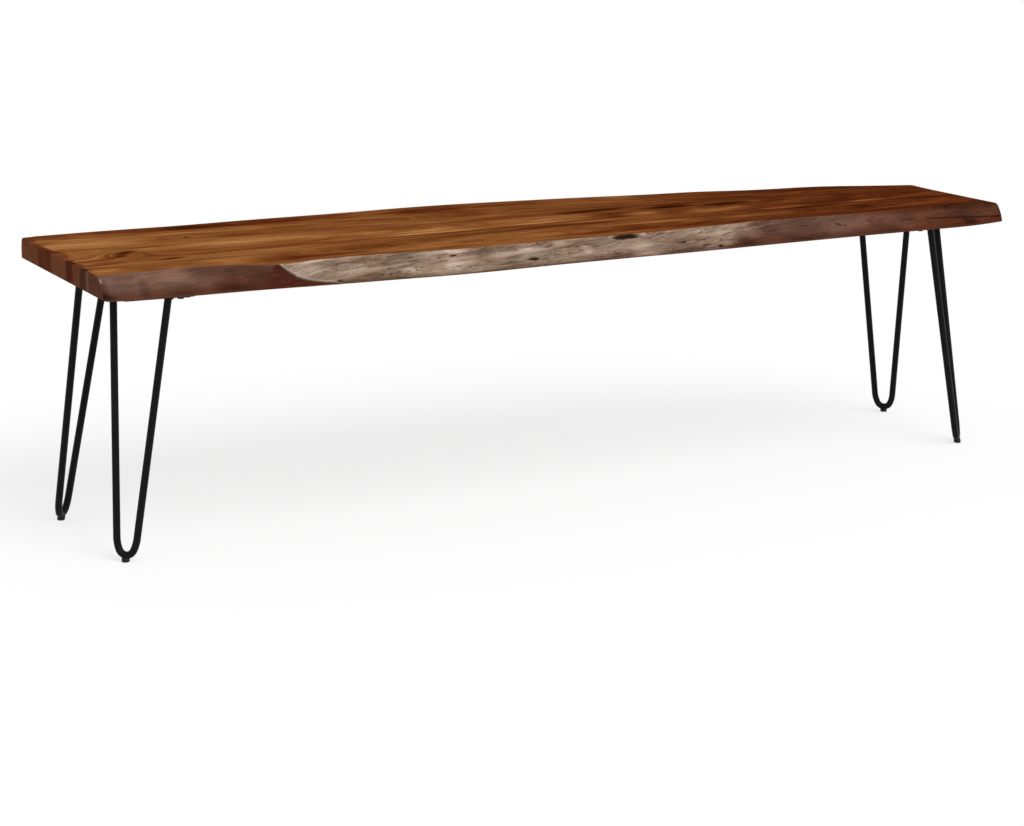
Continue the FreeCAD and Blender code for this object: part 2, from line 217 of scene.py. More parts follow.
def natural_face(share, inset, setback, columns, outward, points, top_rounding):
    """Natural side of a board from bottom to top in y and z, with v from 0 at the bottom to 1 at the top.

    A parabola with poles bottom, pull and top: b(1 − v)² + 2pv(1 − v) + tv². Each corner is a second parabola
    whose middle pole is the corner."""
    x = SEAT_LEFT + share * SEAT_LENGTH
    top_y = outline(columns[0], x) * SEAT_DEPTH - outward * (inset + setback)
    bottom_y = outline(columns[1], x) * SEAT_DEPTH - outward * (inset + setback)
    low = SEAT_BOTTOM + inset
    high = SEAT_TOP - inset
    pull_y = (top_y + bottom_y) / 2 + outward * 2 * outline(columns[2], x) * SEAT_THICKNESS
    pull_z = (low + high) / 2
    run = np.hypot(top_y - bottom_y, high - low)

    def parabola(v):
        y = bottom_y * (1 - v) ** 2 + 2 * pull_y * v * (1 - v) + top_y * v ** 2
        z = low * (1 - v) ** 2 + 2 * pull_z * v * (1 - v) + high * v ** 2
        return y, z

    def corner(start, middle, end, s):
        return [a * (1 - s) ** 2 + 2 * b * s * (1 - s) + c * s ** 2 for a, b, c in zip(start, middle, end)]

    v_low = BOTTOM_ROUNDING / run
    v_high = 1 - top_rounding / run
    bend = np.linspace(0, 1, 7)[None, :]
    between = np.linspace(0, 1, points)[None, 1:-1]
    v = v_low + (v_high - v_low) * between
    bottom = corner((bottom_y - outward * BOTTOM_ROUNDING, low), (bottom_y, low), parabola(v_low), bend)
    side = parabola(v)
    top = corner(parabola(v_high), (top_y, high), (top_y - outward * top_rounding, high), bend)
    y = np.concatenate([bottom[0], side[0], top[0]], axis=1)
    z = np.concatenate([bottom[1], side[1], top[1]], axis=1)
    up = np.concatenate([v_low * bend, v, v_high + (1 - v_high) * bend], axis=1)
    return y, z, up


def across(start, end, count):
    """Points strictly between two columns of points, evenly spaced: start + (end − start)·s."""
    s = np.linspace(0, 1, count + 2)[None, 1:-1]
    return [a[:, None] + (b - a)[:, None] * s for a, b in zip(start, end)]


def ring_of(front, back, under_count, top_count):
    """Section of a board at every station: underside forward, front face up, top back, back face down."""
    under = across((back[0][:, 0], back[1][:, 0]), (front[0][:, 0], front[1][:, 0]), under_count)
    top = across((front[0][:, -1], front[1][:, -1]), (back[0][:, -1], back[1][:, -1]), top_count)
    y = np.concatenate([under[0], front[0], top[0], back[0][:, ::-1]], axis=1)
    z = np.concatenate([under[1], front[1], top[1], back[1][:, ::-1]], axis=1)
    return y, z


# How far the end's dark wood comes over the worn arris of the wide end: place across, then how far
LAP = (
    (-0.190, 0.004), (-0.120, 0.004), (-0.100, 0.006), (-0.078, 0.007), (-0.057, 0.014), (-0.034, 0.007),
    (0.008, 0.012), (0.030, 0.020), (0.058, 0.022), (0.068, 0.014), (0.090, 0.009), (0.138, 0.008),
    (0.165, 0.008), (0.190, 0.014), (0.210, 0.022),
)


def lapped(x, y):
    """1 where the end's dark wood comes over the arris of the wide end, 0 on the rest of the top."""
    places, reach = np.array(LAP).T
    edge = SEAT_LEFT + np.interp(y, places, reach) + 0.0025 * lattice_noise(x / 0.02, y / 0.006, 13)
    return rise(-0.0035, 0.0025, edge - x)


# Depths on top: the plane's soft waves, the wear of the wide and of the narrow end, and how far that reaches
WAVE_DEPTH = 0.0001
WIDE_END_WEAR = 0.0005
NARROW_END_WEAR = 0.0014
NARROW_WEAR_REACH = 0.012


def planed(x, y, z):
    """The planed top dips by up to 0.2 mm in long soft waves, by 0.5 mm where the wide end's arris is worn,
    and by 1.4 mm over the last centimetre of the narrow end, less towards its back corner."""
    wave = lattice_noise(x / 0.16, y / 0.035, 11) + 0.5 * lattice_noise(x / 0.05, y / 0.014, 12)
    on_top = rise(SEAT_TOP - 0.004, SEAT_TOP - 0.0002, z)
    worn = WIDE_END_WEAR * lapped(x - 0.002, y)
    near_end = rise(-NARROW_WEAR_REACH, 0.0, x - end_of_seat(y)) * rise(0.080, 0.0, y)
    worn = worn + NARROW_END_WEAR * near_end
    return z - on_top * (WAVE_DEPTH * (1 + wave / 1.5) + worn)


def skin(name, x, y, z, marks):
    """Closed mesh over a grid of sections: quads between the rings, and one flat face on each end."""
    rows, columns = x.shape
    index = np.arange(rows * columns).reshape(rows, columns)
    beside = np.roll(index, -1, axis=1)
    quads = np.stack([index[:-1], index[1:], beside[1:], beside[:-1]], axis=-1).reshape(-1, 4)
    mesh = bpy.data.meshes.new(name)
    corners = np.stack([x, y, z], axis=-1).reshape(-1, 3)
    mesh.from_pydata(corners.tolist(), [], quads.tolist() + [index[0].tolist(), index[-1, ::-1].tolist()])
    mesh.polygons.foreach_set("use_smooth", np.ones(len(mesh.polygons), dtype=bool))
    for mark, value in marks.items():
        layer = mesh.attributes.new(mark, "FLOAT", "POINT")
        layer.data.foreach_set("value", np.broadcast_to(value, x.shape).astype(np.float32).ravel())
    mesh.update()
    piece = bpy.data.objects.new(name, mesh)
    bpy.context.scene.collection.objects.link(piece)
    return piece


# Figure of the planed top, board by board and across the glue lines: place, half length and half width in
# metres on the seat, how much lighter or darker, how much redder, and tilt
TOP_FIGURE = (
    (-0.807, 0.112, 0.100, 0.046, 0.34, 0.0, 0.0),
    (-0.577, 0.034, 0.200, 0.022, 0.34, 0.0, 0.03),
    (-0.262, -0.004, 0.120, 0.026, 0.26, -0.1, 0.0),
    (-0.202, -0.029, 0.120, 0.006, 0.30, 0.0, 0.02),
    (0.010, -0.015, 0.085, 0.007, 0.55, 0.0, 0.02),
    (0.048, 0.008, 0.065, 0.014, 0.42, -0.2, 0.0),
    (0.203, -0.005, 0.042, 0.015, 0.38, -0.1, 0.0),
    (0.363, -0.020, 0.068, 0.024, 0.36, 0.0, 0.05),
    (0.493, -0.052, 0.055, 0.013, 0.34, 0.0, 0.08),
    (0.683, -0.052, 0.036, 0.012, 0.34, 0.0, 0.0),
    (0.198, -0.092, 0.095, 0.008, 0.38, 0.0, 0.02),
    (0.393, -0.103, 0.085, 0.012, 0.34, 0.0, 0.0),
    (-0.868, -0.112, 0.032, 0.016, 0.36, 0.1, 0.0),
    (-0.632, -0.108, 0.065, 0.011, 0.20, -0.1, 0.0),
    (-0.342, -0.146, 0.065, 0.007, 0.18, 0.3, 0.0),
    (-0.527, 0.200, 0.220, 0.026, -0.22, 0.5, 0.0),
    (-0.577, 0.190, 0.100, 0.013, -0.18, 0.4, 0.0),
    (-0.412, 0.188, 0.048, 0.012, -0.22, 0.5, 0.0),
    (-0.097, 0.182, 0.140, 0.014, -0.22, 0.5, 0.0),
    (0.133, 0.056, 0.072, 0.013, -0.62, 0.1, 0.06),
    (0.293, 0.037, 0.045, 0.013, -0.62, 0.1, 0.0),
    (0.413, 0.027, 0.050, 0.012, -0.66, -0.3, 0.0),
    (0.518, 0.022, 0.032, 0.009, -0.40, 0.0, 0.0),
    (0.678, 0.015, 0.032, 0.008, -0.36, 0.0, 0.0),
    (-0.781, 0.015, 0.020, 0.012, -0.55, 0.3, 0.5),
    (-0.801, -0.012, 0.016, 0.010, -0.45, 0.3, 0.5),
    (-0.747, 0.046, 0.045, 0.003, -0.50, 0.1, 0.0),
    (-0.848, -0.0700, 0.040, 0.0022, -0.55, 0.3, 0.22),
    (-0.874, -0.0570, 0.016, 0.0045, 0.30, 0.0, 0.0),
    (-0.202, 0.060, 0.120, 0.020, 0.14, 0.0, 0.0),
    (-0.022, 0.030, 0.120, 0.016, 0.12, 0.0, 0.0),
    (-0.730, -0.063, 0.022, 0.005, -0.60, 0.2, 0.1),
    (-0.272, -0.036, 0.150, 0.0028, -0.42, 0.0, 0.01),
    (-0.527, -0.137, 0.115, 0.009, -0.20, 0.6, 0.0),
    (0.148, -0.142, 0.190, 0.013, -0.26, 0.6, 0.0),
    (0.018, -0.052, 0.110, 0.017, -0.24, 0.3, 0.0),
    (-0.402, -0.100, 0.120, 0.020, -0.12, 0.1, 0.0),
    (-0.062, 0.060, 0.130, 0.010, -0.16, 0.1, 0.0),
)

# Knots and eyes that the grain flows round: place, half length, half width and how many rings they add
KNOTS = (
    (-0.787, 0.004, 0.045, 0.030, 5.0),
    (-0.657, 0.118, 0.030, 0.014, 2.5),
    (0.048, 0.030, 0.085, 0.014, 2.0),
    (-0.122, 0.100, 0.110, 0.018, -2.5),
    (0.328, -0.060, 0.090, 0.016, 2.5),
    (0.558, 0.060, 0.100, 0.020, -2.0),
    (-0.432, -0.110, 0.100, 0.014, 2.0),
)

# Bands of colour down the wide end: place across, then how much lighter or darker
END_BANDS = (
    (-0.190, -0.06), (-0.122, -0.06), (-0.117, 0.12), (-0.109, 0.12), (-0.104, -0.20), (-0.080, -0.18),
    (-0.075, 0.08), (-0.046, 0.07), (-0.041, -0.20), (-0.015, -0.18), (-0.009, 0.07), (0.057, 0.06),
    (0.066, -0.10), (0.120, -0.08), (0.130, 0.05), (0.160, 0.10), (0.185, 0.06), (0.210, 0.10),
)


def top_marks(x, y, turn):
    """Tone, redness and swirl of the planed wood: sums of soft spots, and a slow darkening to the narrow end.

    On the wide end, and where its colour laps over the top, bands of their own take over the tone."""
    tone = 0.13 - 0.30 * rise(-0.15, 0.60, x) - 0.06 * rise(0.60, 0.85, x) + 0.05 * rise(-0.3, -0.7, x)
    red = 0.15 + 0.45 * rise(0.1, 0.8, x)
    swirl = np.zeros_like(x)
    for x0, y0, long, wide, lighter, redder, climb in TOP_FIGURE:
        here = spot(x, y, x0, y0, long, wide, climb)
        tone = tone + lighter * here
        red = red + redder * here
    for x0, y0, long, wide, rings in KNOTS:
        swirl = swirl + rings * np.exp(-((x - x0) / long) ** 2 - ((y - y0) / wide) ** 2)
    turned = rise(0.25, 0.8, turn) + 0 * x
    covered = np.maximum(turned, lapped(x, y))
    end = np.maximum(turned, 0.6 * covered)
    places, bands = np.array(END_BANDS).T
    banded = 1.3 * np.interp(y, places, bands) + 0.05 * lattice_noise(y / 0.012, y * 0, 14)
    tone = tone + covered * (x < 0) * (banded - 0.20 * (covered - turned) - tone)
    return {"tone": tone, "red": red, "swirl": swirl, "end": end}


# Torn pits of the natural edge, cut in and painted with their shade: place along, share of the height, half
# length, half height, depth, darkness of the painted shade, and climb in heights per metre
PITS = (
    (-0.526, 0.81, 0.014, 0.110, 0.0018, 0.22, 1.0),
    (-0.515, 0.88, 0.009, 0.030, 0.0008, 0.30, 1.0),
    (-0.549, 0.60, 0.017, 0.035, 0.0010, 0.35, -14.0),
    (-0.521, 0.51, 0.018, 0.035, 0.0010, 0.40, 4.4),
    (-0.498, 0.18, 0.006, 0.050, 0.0020, 0.80, 0.5),
    (-0.468, 0.38, 0.008, 0.030, 0.0010, 0.35, 2.0),
    (-0.459, 0.80, 0.022, 0.048, 0.0016, 0.50, -1.0),
    (-0.445, 0.29, 0.016, 0.038, 0.0014, 0.50, 2.5),
    (-0.412, 0.87, 0.007, 0.030, 0.0012, 0.50, 1.0),
    (-0.404, 0.52, 0.008, 0.045, 0.0012, 0.45, 2.0),
    (-0.391, 0.10, 0.014, 0.050, 0.0012, 0.50, 0.5),
    (-0.377, 0.54, 0.030, 0.055, 0.0014, 0.36, 1.0),
    (-0.358, 0.86, 0.006, 0.038, 0.0014, 0.60, 1.0),
    (-0.360, 0.49, 0.004, 0.034, 0.0012, 0.50, 0.0),
    (-0.356, 0.36, 0.006, 0.040, 0.0014, 0.55, 0.0),
    (-0.348, 0.33, 0.003, 0.034, 0.0010, 0.50, 0.0),
    (-0.307, 0.77, 0.011, 0.038, 0.0018, 0.75, 1.6),
    (-0.304, 0.63, 0.006, 0.034, 0.0014, 0.65, 0.5),
    (-0.282, 0.81, 0.012, 0.042, 0.0020, 0.90, 1.3),
    (-0.253, 0.84, 0.008, 0.030, 0.0012, 0.50, 1.0),
    (-0.236, 0.79, 0.006, 0.032, 0.0010, 0.50, 1.0),
    (-0.221, 0.49, 0.010, 0.038, 0.0010, 0.35, 0.5),
    (-0.212, 0.67, 0.006, 0.032, 0.0010, 0.35, 1.5),
    (-0.178, 0.58, 0.007, 0.032, 0.0010, 0.40, 2.0),
    (-0.123, 0.46, 0.034, 0.150, 0.0030, 0.30, 0.3),
    (-0.134, 0.42, 0.012, 0.055, 0.0016, 0.75, 0.5),
    (-0.112, 0.37, 0.009, 0.028, 0.0008, 0.50, 0.5),
    (-0.102, 0.84, 0.028, 0.032, 0.0010, 0.42, 0.0),
    (-0.062, 0.52, 0.005, 0.040, 0.0016, 0.70, 2.0),
    (-0.042, 0.85, 0.006, 0.030, 0.0014, 0.55, 0.0),
    (-0.039, 0.56, 0.007, 0.032, 0.0012, 0.50, 0.5),
    (0.031, 0.27, 0.007, 0.055, 0.0018, 0.60, 0.5),
    (0.172, 0.54, 0.009, 0.060, 0.0024, 0.95, 0.5),
    (0.215, 0.32, 0.010, 0.048, 0.0022, 0.80, 2.0),
    (0.230, 0.60, 0.004, 0.042, 0.0014, 0.60, 0.0),
    (0.247, 0.20, 0.008, 0.062, 0.0024, 0.90, 0.5),
    (0.438, 0.14, 0.014, 0.050, 0.0014, 0.60, 0.5),
    (0.441, 0.73, 0.012, 0.062, 0.0018, 0.55, 0.5),
    (0.517, 0.66, 0.009, 0.070, 0.0018, 0.65, -3.0),
    (0.531, 0.60, 0.006, 0.060, 0.0014, 0.55, 2.0),
    (0.518, 0.84, 0.012, 0.036, 0.0010, 0.45, 0.0),
    (0.364, 0.62, 0.020, 0.060, 0.0010, 0.40, 0.5),
    (0.672, 0.60, 0.024, 0.075, 0.0010, 0.50, 0.5),
)

# Lighter and darker places on the brown skin, the first rows a painted sheen high on the rounded skin of
# the wide end, and the pale rims, partly pale wood and partly painted highlight: place along, share of the
# height, half length, half height, how much lighter, climb
SHEENS = (
    (-0.854, 0.86, 0.040, 0.170, 0.34, 0.0),
    (-0.848, 0.58, 0.026, 0.260, 0.22, 0.0),
    (-0.768, 0.78, 0.034, 0.200, 0.26, 0.0),
    (-0.718, 0.55, 0.030, 0.260, 0.28, 0.0),
    (-0.826, 0.44, 0.009, 0.420, -0.26, 0.0),
    (-0.702, 0.30, 0.012, 0.300, -0.14, 0.0),
    (-0.672, 0.83, 0.011, 0.090, -0.24, 0.0),
    (-0.661, 0.42, 0.011, 0.220, 0.14, 8.0),
    (-0.615, 0.66, 0.024, 0.200, -0.16, 8.0),
    (-0.890, 0.06, 0.017, 0.240, -0.40, 0.0),
    (0.328, 0.62, 0.022, 0.250, 0.20, 3.0),
    (0.528, 0.50, 0.050, 0.300, 0.16, 0.0),
    (0.598, 0.60, 0.020, 0.250, -0.18, 0.0),
    (0.653, 0.34, 0.030, 0.160, 0.14, 0.0),
    (0.813, 0.28, 0.014, 0.180, -0.26, 0.0),
    (-0.485, 0.50, 0.040, 0.260, 0.30, 2.0),
    (-0.547, 0.80, 0.030, 0.140, 0.25, 0.0),
    (-0.367, 0.40, 0.022, 0.100, 0.60, 1.5),
    (-0.290, 0.45, 0.018, 0.260, 0.40, 0.0),
    (-0.277, 0.93, 0.016, 0.080, 0.60, 0.0),
    (-0.192, 0.72, 0.024, 0.160, 0.60, 2.0),
    (-0.132, 0.74, 0.045, 0.090, 0.65, 1.0),
    (-0.072, 0.86, 0.016, 0.100, 0.55, 0.0),
    (-0.026, 0.55, 0.012, 0.180, 0.50, 0.0),
    (0.083, 0.55, 0.030, 0.220, 0.45, 1.0),
    (0.213, 0.80, 0.050, 0.160, 0.14, 0.0),
    (0.195, 0.40, 0.075, 0.400, -0.40, 0.0),
    (0.286, 0.24, 0.030, 0.280, -0.32, 0.0),
)
RIMS = (
    (-0.526, 0.955, 0.050, 0.030, 0.80, 0.0),
    (-0.368, 0.380, 0.005, 0.060, 0.45, 0.0),
    (0.102, 0.950, 0.006, 0.050, 0.55, 0.0),
    (-0.302, 0.930, 0.060, 0.028, 0.35, 0.0),
    (-0.162, 0.700, 0.040, 0.080, 0.30, 1.0),
)

# The dark slot under the top, cut in and painted dark as its shade: place along, share of the height, half
# length, half height, and its depth
SLOT = (0.0635, 0.930, 0.030, 0.072)
SLOT_DEPTH = 0.0065

# The pale lip runs down through these places and shares of the height. The dark hollow lies under it, cut
# in and painted darkest right under the lip as the lip's shade, and its left side is given at the top and at
# the bottom
LIP_PLACES = (-0.597, -0.590, -0.584, -0.578, -0.568, -0.557, -0.542, -0.526, -0.509, -0.490)
LIP_SHARES = (1.03, 0.97, 0.86, 0.70, 0.52, 0.38, 0.27, 0.20, 0.14, 0.04)
LIP_HALF_HEIGHT = 0.040
HOLLOW_LEFT = (-0.594, -0.648)
HOLLOW_DEPTH = 0.0050

# The long crack of the narrow end, cut in and painted dark as its shade, and the line up to which the brown
# skin covers the pale wood
CRACK_PLACES = (0.660, 0.716, 0.769, 0.816, 0.868, 0.900)
CRACK_SHARES = (0.57, 0.58, 0.53, 0.48, 0.38, 0.32)
CRACK_HALF_HEIGHT = 0.040
CRACK_DEPTH = 0.0014
BROWN_PLACES = (0.20, 0.26, 0.31, 0.35, 0.40, 0.48)
BROWN_SHARES = (-0.5, 0.15, 0.72, 1.02, 1.25, 1.6)

# How fast the fibres climb, in heights per metre, and how deep the smooth skin and the torn wood lie
FIBRE_CLIMB = 1.6
SKIN_DEPTH = 0.0005
TORN_DEPTH = 0.0008
SPECK_DEPTH = 0.0014


def edge_relief(x, v):
    """How deep each point of the natural edge is cut below its smooth face, and its colour marks.

    Depths add up: noise flutes drawn out along the fibres, pits as flat-topped ellipses, the slot, the hollow
    under the lip and the crack. The fibres climb steadily along the board, and faster beside the lip."""
    fibre = v - FIBRE_CLIMB * x - 0.22 * (1 - np.exp(-np.maximum(x + 0.57, 0) / 0.05))
    broad = lattice_noise(x / 0.085 + 9, fibre * 5, 21)
    flute = 0.5 * lattice_noise(x / 0.045, fibre * 10, 22) + 0.35 * lattice_noise(x / 0.017, fibre * 22, 23)
    flute = flute + 0.25 * lattice_noise(x / 0.007, fibre * 44, 24)
    ripple = lattice_noise(x / 0.110, v * 2.2, 25)
    brown = rise(-0.40, 0.50, np.interp(x, BROWN_PLACES, BROWN_SHARES) - v + 0.20 * flute + 0.2 * broad)
    torn = rise(-0.600, -0.585, x) * (1 - 0.55 * brown)
    depth = SKIN_DEPTH + 0.0003 * ripple
    depth = depth + torn * np.maximum(TORN_DEPTH + 0.0007 * broad + 0.0013 * flute, 0)
    depth = depth + SKIN_DEPTH * (1 - torn) * (1 + lattice_noise(x / 0.034, v * 1.5 + 4, 26))
    speck = 0.65 * lattice_noise(x / 0.017 + 3, fibre * 15, 27)
    speck = speck + 0.55 * lattice_noise(x / 0.007, fibre * 28, 28)
    gather = rise(-0.35, 0.35, lattice_noise(x / 0.11, v * 2.5, 29))
    wild = torn * gather * rise(0.38, 0.80, speck)
    depth = depth + SPECK_DEPTH * wild
    # Dark: painted shade in the cut-in specks and deeper flutes, and below in the pits, the slot and the
    # crack.
    dark = 0.60 * wild + 0.10 * torn * rise(0.2, 0.7, flute)
    wobble = 0.004 * lattice_noise(x / 0.008, v * 18, 30)
    waver = 0.022 * lattice_noise(x / 0.012, v * 12, 31)
    for place, height, long, high, deep, shade, climb in PITS:
        here = spot(x + wobble, v + waver, place, height, long, high, climb)
        depth = depth + deep * here
        dark = dark + shade * here

    slot = spot(x, v + 0.3 * waver, *SLOT)
    depth = depth + SLOT_DEPTH * slot
    # Painted shade in the slot
    dark = dark + 1.1 * slot

    lip_share = np.interp(x, LIP_PLACES, LIP_SHARES)
    left = HOLLOW_LEFT[1] + (HOLLOW_LEFT[0] - HOLLOW_LEFT[1]) * v
    soft = 0.010 + 0.034 * (1 - np.clip(v, 0, 1))
    below = rise(0.0, 0.05, lip_share - v) * rise(left - soft, left + soft, x)
    below = below * (1 - rise(-0.50, -0.485, x))
    # Painted shade: the hollow's mark is strongest right under the overhanging lip.
    hollow = below * (0.45 + 0.55 * np.exp(-np.maximum(lip_share - v, 0) / 0.4))
    depth = depth + HOLLOW_DEPTH * hollow
    lip = np.exp(-((v - lip_share - LIP_HALF_HEIGHT / 2) / LIP_HALF_HEIGHT) ** 2) * rise(-0.594, -0.588, x)
    lip = lip * (0.95 - 0.45 * rise(-0.575, -0.545, x)) * (1 - rise(-0.515, -0.488, x))

    crack_share = np.interp(x, CRACK_PLACES, CRACK_SHARES) + 0.012 * lattice_noise(x / 0.02, v * 0, 32)
    crack = np.exp(-((v - crack_share) / CRACK_HALF_HEIGHT) ** 2) * rise(0.690, 0.735, x)
    depth = depth + CRACK_DEPTH * crack
    # Painted shade in the crack
    dark = dark + 0.90 * crack
    patches = spot(x, v, 0.705, 0.28, 0.026, 0.20) + spot(x, v, 0.765, 0.28, 0.028, 0.22)
    warm = 0.2 * rise(0.68, 0.72, x) + 0.8 * patches + 0.8 * spot(x, v, 0.868, 0.20, 0.040, 0.18)
    warm = np.clip(warm, 0, 1) * rise(0.0, 0.06, crack_share - v)

    # Painted highlight: a small pale glint on the rounded near corner of the wide end.
    rim = lip + 0.95 * spot(x, v, SEAT_LEFT + END_ARRISES[0] + 0.0004, 0.84, 0.0008, 0.10)
    for place, height, long, high, light, climb in RIMS:
        rim = rim + light * spot(x + wobble, v + waver, place, height, long, high, climb)
    calm = 1 - 0.6 * rise(0.68, 0.80, x)
    tone = 0.5 + 0.30 * calm * lattice_noise(x / 0.045, v * 1.4, 33) + 0.22 * broad * torn
    # Tone takes the lighter and darker places; the first rows paint a sheen of light on the upper skin.
    for place, height, long, high, light, climb in SHEENS:
        tone = tone + light * spot(x, v, place, height, long, high, climb)
    pale = torn * (1 - brown) * (1 - hollow)
    marks = {"pale": pale, "dark": dark, "rim": rim, "hollow": hollow, "warm": warm}
    marks = {mark: np.clip(value, 0, 1) for mark, value in marks.items()}
    # Raised carries the ridges, which the material paints lighter as a highlight.
    return depth, marks | {"mottle": tone, "raised": -flute}


def skin_overlap(x):
    """How far the natural edge's colour runs over the rounded top edge: a few mm, more at both ends."""
    return 0.0096 * np.clip((-0.70 - x) / 0.19, 0, 1) + 0.026 * np.clip((x - 0.72) / 0.18, 0, 1) ** 2


def front_board_surface():
    """Grid of the front board with its carved edge: each edge point moves in along the face's normal.

    The normal is the cross product of the grid's two differences."""
    share, push, inset, turn, setback, squash = stations(FRONT_SPANS)
    first, side_points, over = FRONT_POINTS
    wide, middle, narrow = TOP_ROUNDINGS
    x_along = SEAT_LEFT + share * SEAT_LENGTH
    top_rounding = middle + (wide - middle) * (1 - rise(-0.70, -0.62, x_along))
    top_rounding = top_rounding + (narrow - middle) * rise(0.66, 0.88, x_along)
    face_y, face_z, v = natural_face(share, inset, setback, FRONT_COLUMNS, -1, side_points, top_rounding)
    y, z = ring_of((face_y, face_z), glue_face(share, inset, FRONT_JOINT), first, over)
    y, z = flattened(y, z, squash)
    last = first + face_y.shape[1]
    x = along_seat(share, push, y)
    on_edge = np.s_[:, first:last]
    depth, edge_marks = edge_relief(x[on_edge], v)
    along = np.stack([np.gradient(g[on_edge], axis=0) for g in (x, y, z)], axis=-1)
    around = np.stack([np.gradient(g, axis=1)[on_edge] for g in (x, y, z)], axis=-1)
    normal = np.cross(along, around)
    normal /= np.linalg.norm(normal, axis=-1, keepdims=True)
    window = rise(-0.01, 0.10, v) * (1 - rise(0.90, 0.985, v))
    window = np.maximum(window, rise(0.3, 0.8, spot(x[on_edge], v, *SLOT)) * (1 - rise(0.94, 0.975, v)))
    fade = 1 - turn
    move = normal * (depth * window * fade)[..., None]
    top_line = y[:, last - 1:last]
    x[on_edge] -= move[..., 0]
    y[on_edge] -= move[..., 1]
    z[on_edge] -= move[..., 2]
    marks = top_marks(x, y, turn)
    marks["end"][on_edge] = rise(0.25, 0.8, turn)
    marks["face"] = rise(-0.0015, 0.0015, skin_overlap(x) + 0.0012 * lattice_noise(x / 0.012, y / 0.02, 34)
                         - (y - top_line)) * rise(SEAT_TOP - 0.004, SEAT_TOP - 0.001, z)
    bare = rise(0.965, 0.995, v) * (skin_overlap(x[on_edge]) < 0.001)
    marks["face"][on_edge] = rise(0.0, 0.05, v) * (1 - bare)
    marks["height"] = np.clip(1 + (y - top_line) / SEAT_THICKNESS, 1, 2)
    marks["height"][on_edge] = v
    marks["height"][:, :first] = 0
    for mark, value in edge_marks.items():
        marks[mark] = np.zeros_like(x)
        marks[mark][on_edge] = value
        marks[mark][:, last:] = value[:, -1:]
    return x, y, planed(x, y, z), marks


front_board = skin("front_board_wood", *front_board_surface())


class Wire:
    """A socket of a material: the operators add the Math nodes that work out the same sum."""

    def __init__(self, tree, socket):
        self.tree = tree
        self.socket = socket

    def node(self, kind, settings=None, out=0, **sockets):
        """Add a node, set it up, then feed its sockets; names as the node has them, _ for a space."""
        made = self.tree.nodes.new("ShaderNode" + kind)
        for key, value in (settings or {}).items():
            if key == "stops":
                ramp = made.color_ramp.elements
                while len(ramp) < len(value):
                    ramp.new(0.5)
                for element, (place, colour) in zip(ramp, value):
                    element.position = place
                    element.color = (*colour, 1)
            else:
                setattr(made, key, value)
        for key, value in sockets.items():
            place = int(key[1:]) if key[1:].isdigit() else key.replace("_", " ")
            self.feed(made.inputs[place], value)
        return Wire(self.tree, made.outputs[out])

    def feed(self, socket, value):
        """Link a wire to a socket, or set its own value."""
        if isinstance(value, Wire):
            self.tree.links.new(value.socket, socket)
        else:
            socket.default_value = value

    def maths(self, operation, *terms):
        """Math node on this wire and further terms."""
        feeds = {"i%d" % i: term for i, term in enumerate(terms)}
        return self.node("Math", {"operation": operation}, **feeds)

    def __add__(self, other):
        return self.maths("ADD", self, other)

    __radd__ = __add__

    def __mul__(self, other):
        return self.maths("MULTIPLY", self, other)

    __rmul__ = __mul__

    def __sub__(self, other):
        return self.maths("SUBTRACT", self, other)

    def __rsub__(self, other):
        return self.maths("SUBTRACT", other, self)

    def root(self):
        """Square root."""
        return self.maths("SQRT", self)

    def between(self, low, high):
        """0 below low, 1 above high, smooth between."""
        return self.node("MapRange", {"interpolation_type": "SMOOTHSTEP"}, i0=self, i1=low, i2=high)

    def attribute(self, name):
        """Number painted on the mesh under that name."""
        return self.node("Attribute", {"attribute_name": name}, out=2)

    def noise(self, x, y, z, detail=3.0, roughness=0.55):
        """Noise over three wires, already in the pattern's own scale."""
        place = self.node("CombineXYZ", None, X=x, Y=y, Z=z)
        return self.node("TexNoise", None, Vector=place, Scale=1.0, Detail=detail, Roughness=roughness)

    def blend(self, low, high):
        """Colour from low to high as this wire goes from 0 to 1."""
        return self.node("Mix", {"data_type": "RGBA"}, out=2, i0=self, i6=low, i7=high)

    def tinted(self, tint):
        """This colour times a tint."""
        settings = {"data_type": "RGBA", "blend_type": "MULTIPLY"}
        return self.node("Mix", settings, out=2, i0=1.0, i6=self, i7=tint)

    def ramp(self, *stops):
        """Colour by this wire's value, from stops of place and colour."""
        return self.node("ValToRGB", {"stops": stops}, i0=self)


COAT_ROUGHNESS = 0.30


def finish_with(name, colour_of, specular):
    """Material from the wires that colour_of gives: colour, roughness, height, bump distance and coat."""
    material = bpy.data.materials.new(name)
    material.use_nodes = True
    tree = material.node_tree
    shader = tree.nodes["Principled BSDF"]
    start = Wire(tree, None)
    place = start.node("TexCoord", out=3)
    axes = [start.node("SeparateXYZ", None, out=i, Vector=place) for i in range(3)]
    colour, roughness, height, distance, coat = colour_of(start, *axes)
    start.feed(shader.inputs["Base Color"], colour)
    start.feed(shader.inputs["Roughness"], roughness)
    shader.inputs["Specular IOR Level"].default_value = specular
    shader.inputs["Coat Roughness"].default_value = COAT_ROUGHNESS
    start.feed(shader.inputs["Coat Weight"], coat)
    bump = start.node("Bump", None, Height=height, Strength=1.0, Distance=distance)
    start.feed(shader.inputs["Normal"], bump)
    return material


# Colours of the lacquered wood from its darkest streak to its lightest, and tints that multiply them
WOOD_STOPS = (
    (0.00, (0.030, 0.0070, 0.0025)),
    (0.22, (0.078, 0.0185, 0.0047)),
    (0.42, (0.140, 0.0390, 0.0098)),
    (0.60, (0.220, 0.0760, 0.0200)),
    (0.78, (0.310, 0.1220, 0.0345)),
    (1.00, (0.450, 0.2150, 0.0760)),
)
RED_TINT = (0.86, 0.52, 0.50, 1)
END_TINT = (1.20, 1.30, 2.40, 1)
FRONT_END_TINT = (1.12, 1.68, 4.30, 1)


